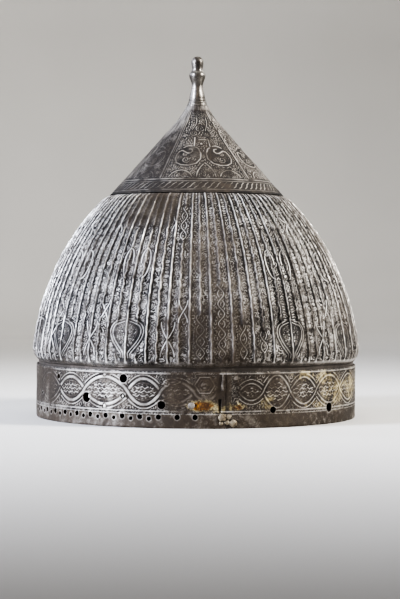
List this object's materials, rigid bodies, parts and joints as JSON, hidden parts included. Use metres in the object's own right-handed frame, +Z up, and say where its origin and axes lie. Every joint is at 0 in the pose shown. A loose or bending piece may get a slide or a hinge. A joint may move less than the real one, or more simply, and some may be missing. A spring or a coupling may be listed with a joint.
{
  "type": "fluted conical helmet skull",
  "caption": "Bare steel helmet skull: fluted bowl over a drilled brow band with a front seam, a conical cap riveted over its crown, and a turned knob finial.",
  "frame": {"origin": "centre of the circle that the rim stands on", "axes": "+Z up along the helmet's axis to the finial, -Y to the front, where the band's seam is, +X to the right of someone who looks at the front"},
  "size_m": [0.2254, 0.2254, 0.2474],
  "materials": {
    "band_steel": "patinated steel with worn bright lines and traces of gilding",
    "bowl_steel": "dark patina in the flutes, bright worn ridges",
    "cone_steel": "dark patina with worn bright lines",
    "finial_steel": "turned and worn steel",
    "rivet_iron": "dark rusted iron",
    "braze_metal": "rough pale brazing metal"
  },
  "bodies": {
    "root": {"brow_band": "band_steel", "fluted_bowl": "bowl_steel", "cone_cap": "cone_steel", "apex_collar": "finial_steel", "finial": "finial_steel", "finial_rove": "rivet_iron", "band_rivets": "rivet_iron", "cone_rivets": "rivet_iron", "seam_strap": "rivet_iron", "strap_rivets": "rivet_iron", "bracket_stub": "finial_steel", "rim_braze": "braze_metal", "peak_rivet": "finial_steel"}
  },
  "joints": []
}
